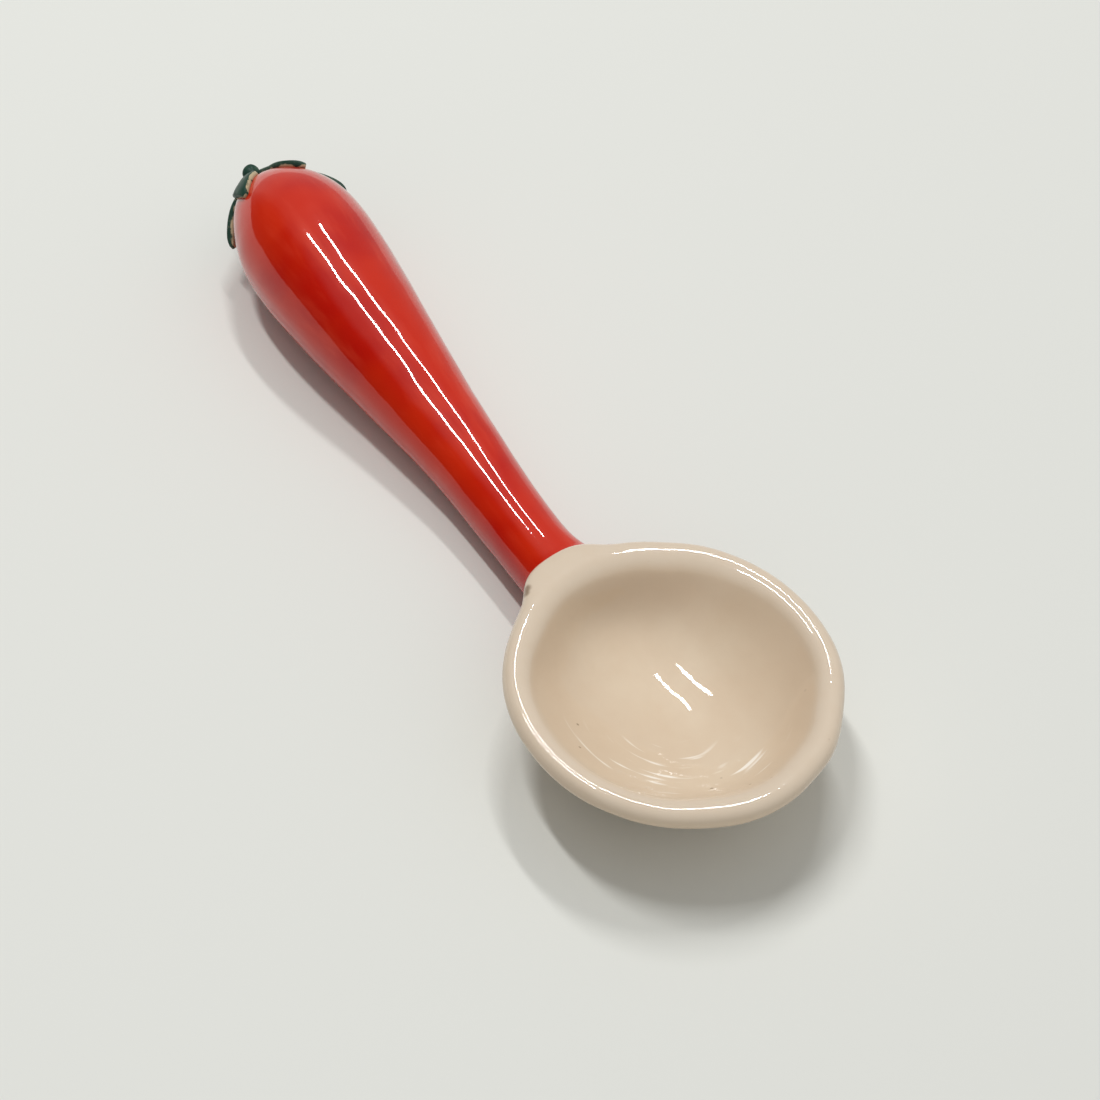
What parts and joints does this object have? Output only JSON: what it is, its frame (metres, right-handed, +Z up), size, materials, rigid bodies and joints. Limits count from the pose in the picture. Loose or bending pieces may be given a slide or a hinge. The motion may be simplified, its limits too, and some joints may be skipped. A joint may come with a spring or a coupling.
{
  "type": "ceramic spoon",
  "caption": "Hand-made glazed ceramic spoon: a shallow round cream bowl with a thick rolled lip on a red handle shaped as a pepper, with a green leafy calyx and short stem at its end.",
  "frame": {"origin": "on the table plane, under the middle of the whole spoon's box", "axes": "+X along the handle from the stem towards the bowl, +Z up out of the bowl, +Y completes a right-handed frame"},
  "size_m": [0.1594, 0.0476, 0.0232],
  "materials": {
    "cream_glaze": "gloss",
    "red_glaze": "gloss",
    "green_glaze": "gloss"
  },
  "bodies": {
    "root": {"bowl": "cream_glaze", "handle": "red_glaze", "sepal_1": "green_glaze", "sepal_2": "green_glaze", "sepal_3": "green_glaze", "sepal_4": "green_glaze", "sepal_5": "green_glaze", "stem": "green_glaze"}
  },
  "joints": []
}
